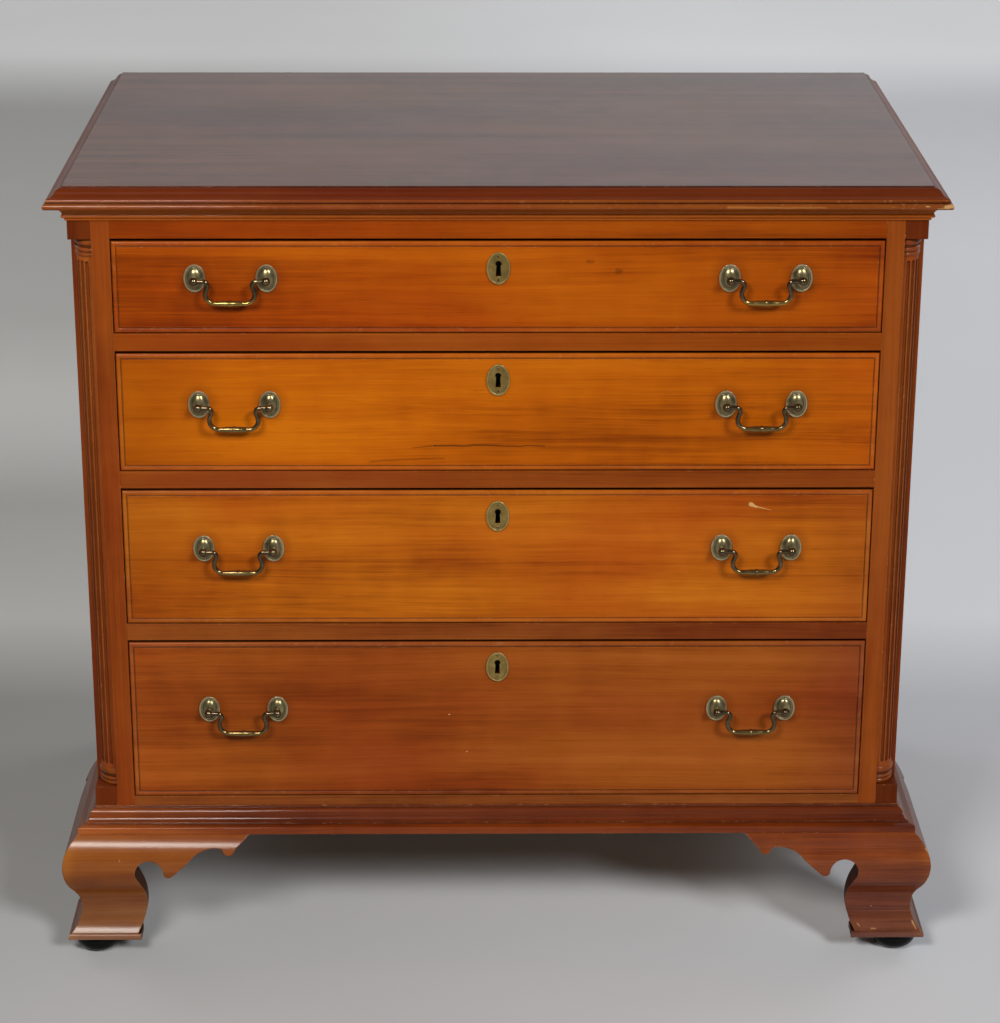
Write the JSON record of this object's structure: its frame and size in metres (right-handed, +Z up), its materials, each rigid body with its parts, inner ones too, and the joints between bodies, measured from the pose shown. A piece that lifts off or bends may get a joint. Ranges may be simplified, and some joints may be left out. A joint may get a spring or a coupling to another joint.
{
  "type": "chest of drawers",
  "caption": "Flat-fronted wooden chest with graduated flush drawers, fluted quarter columns, moulded top, ogee bracket feet, brass bail pulls and keyhole plates.",
  "frame": {"origin": "centre of the bounding box's bottom, on the floor", "axes": "+X along the width to the right as seen by someone facing the drawers, +Y towards the back, +Z up"},
  "size_m": [1.005, 0.5846, 0.9235],
  "materials": {
    "stained_wood": "satin-gloss lacquer over reddish brown stain",
    "front_wood": "satin-gloss lacquer over orange-brown stain",
    "plain_wood": "unfinished secondary wood",
    "antique_brass": "dark antiqued brass",
    "bail_brass": "antiqued brass rubbed bright on the grip",
    "glide": "glossy black"
  },
  "bodies": {
    "case": {"top_board": "stained_wood", "cornice_moulding": "stained_wood", "side_panel_left": "stained_wood", "side_panel_right": "stained_wood", "front_stile_left": "stained_wood", "front_stile_right": "stained_wood", "quarter_column_left": "stained_wood", "quarter_column_right": "stained_wood", "column_blocks": "stained_wood", "top_rail": "stained_wood", "drawer_dividers": "stained_wood", "bottom_rail": "stained_wood", "back_boards": "plain_wood", "case_floor": "plain_wood", "drawer_runners": "plain_wood", "drawer_stops": "plain_wood", "base_moulding_front": "stained_wood", "base_moulding_sides": "stained_wood", "foot_front_left": "stained_wood", "foot_front_right": "stained_wood", "foot_rear_left": "stained_wood", "foot_rear_right": "stained_wood", "foot_glue_blocks": "plain_wood", "floor_glides": "glide"},
    "drawer_1": {"drawer_1_front": "front_wood", "drawer_1_sides": "plain_wood", "drawer_1_back": "plain_wood", "drawer_1_bottom": "plain_wood", "drawer_1_pull_mounts": "antique_brass", "drawer_1_lock": "antique_brass"},
    "drawer_1_bail_left": {"drawer_1_bail_left": "bail_brass"},
    "drawer_1_bail_right": {"drawer_1_bail_right": "bail_brass"},
    "drawer_1_lock_bolt": {"drawer_1_lock_bolt": "antique_brass"},
    "drawer_2": {"drawer_2_front": "front_wood", "drawer_2_sides": "plain_wood", "drawer_2_back": "plain_wood", "drawer_2_bottom": "plain_wood", "drawer_2_pull_mounts": "antique_brass", "drawer_2_lock": "antique_brass"},
    "drawer_2_bail_left": {"drawer_2_bail_left": "bail_brass"},
    "drawer_2_bail_right": {"drawer_2_bail_right": "bail_brass"},
    "drawer_2_lock_bolt": {"drawer_2_lock_bolt": "antique_brass"},
    "drawer_3": {"drawer_3_front": "front_wood", "drawer_3_sides": "plain_wood", "drawer_3_back": "plain_wood", "drawer_3_bottom": "plain_wood", "drawer_3_pull_mounts": "antique_brass", "drawer_3_lock": "antique_brass"},
    "drawer_3_bail_left": {"drawer_3_bail_left": "bail_brass"},
    "drawer_3_bail_right": {"drawer_3_bail_right": "bail_brass"},
    "drawer_3_lock_bolt": {"drawer_3_lock_bolt": "antique_brass"},
    "drawer_4": {"drawer_4_front": "front_wood", "drawer_4_sides": "plain_wood", "drawer_4_back": "plain_wood", "drawer_4_bottom": "plain_wood", "drawer_4_pull_mounts": "antique_brass", "drawer_4_lock": "antique_brass"},
    "drawer_4_bail_left": {"drawer_4_bail_left": "bail_brass"},
    "drawer_4_bail_right": {"drawer_4_bail_right": "bail_brass"},
    "drawer_4_lock_bolt": {"drawer_4_lock_bolt": "antique_brass"}
  },
  "joints": [
    {"name": "drawer_1_slide", "type": "slide", "parent": "case", "child": "drawer_1", "axis": [0, -1, 0], "range_m": [0, 0.36]},
    {"name": "drawer_1_bail_left_hinge", "type": "hinge", "parent": "drawer_1", "child": "drawer_1_bail_left", "pos_m": [-0.2905, -0.26875, 0.81974], "axis": [-1, 0, 0], "range_deg": [-20, 160]},
    {"name": "drawer_1_bail_right_hinge", "type": "hinge", "parent": "drawer_1", "child": "drawer_1_bail_right", "pos_m": [0.2905, -0.26875, 0.81974], "axis": [-1, 0, 0], "range_deg": [-20, 160]},
    {"name": "drawer_1_lock_bolt_slide", "type": "slide", "parent": "drawer_1", "child": "drawer_1_lock_bolt", "axis": [0, 0, 1], "range_m": [0, 0.009]},
    {"name": "drawer_2_slide", "type": "slide", "parent": "case", "child": "drawer_2", "axis": [0, -1, 0], "range_m": [0, 0.36]},
    {"name": "drawer_2_bail_left_hinge", "type": "hinge", "parent": "drawer_2", "child": "drawer_2_bail_left", "pos_m": [-0.2905, -0.26875, 0.6746], "axis": [-1, 0, 0], "range_deg": [-20, 160]},
    {"name": "drawer_2_bail_right_hinge", "type": "hinge", "parent": "drawer_2", "child": "drawer_2_bail_right", "pos_m": [0.2905, -0.26875, 0.6746], "axis": [-1, 0, 0], "range_deg": [-20, 160]},
    {"name": "drawer_2_lock_bolt_slide", "type": "slide", "parent": "drawer_2", "child": "drawer_2_lock_bolt", "axis": [0, 0, 1], "range_m": [0, 0.009]},
    {"name": "drawer_3_slide", "type": "slide", "parent": "case", "child": "drawer_3", "axis": [0, -1, 0], "range_m": [0, 0.36]},
    {"name": "drawer_3_bail_left_hinge", "type": "hinge", "parent": "drawer_3", "child": "drawer_3_bail_left", "pos_m": [-0.2905, -0.26875, 0.5034], "axis": [-1, 0, 0], "range_deg": [-20, 160]},
    {"name": "drawer_3_bail_right_hinge", "type": "hinge", "parent": "drawer_3", "child": "drawer_3_bail_right", "pos_m": [0.2905, -0.26875, 0.5034], "axis": [-1, 0, 0], "range_deg": [-20, 160]},
    {"name": "drawer_3_lock_bolt_slide", "type": "slide", "parent": "drawer_3", "child": "drawer_3_lock_bolt", "axis": [0, 0, 1], "range_m": [0, 0.009]},
    {"name": "drawer_4_slide", "type": "slide", "parent": "case", "child": "drawer_4", "axis": [0, -1, 0], "range_m": [0, 0.36]},
    {"name": "drawer_4_bail_left_hinge", "type": "hinge", "parent": "drawer_4", "child": "drawer_4_bail_left", "pos_m": [-0.2905, -0.26875, 0.30438], "axis": [-1, 0, 0], "range_deg": [-20, 160]},
    {"name": "drawer_4_bail_right_hinge", "type": "hinge", "parent": "drawer_4", "child": "drawer_4_bail_right", "pos_m": [0.2905, -0.26875, 0.30438], "axis": [-1, 0, 0], "range_deg": [-20, 160]},
    {"name": "drawer_4_lock_bolt_slide", "type": "slide", "parent": "drawer_4", "child": "drawer_4_lock_bolt", "axis": [0, 0, 1], "range_m": [0, 0.009]}
  ]
}
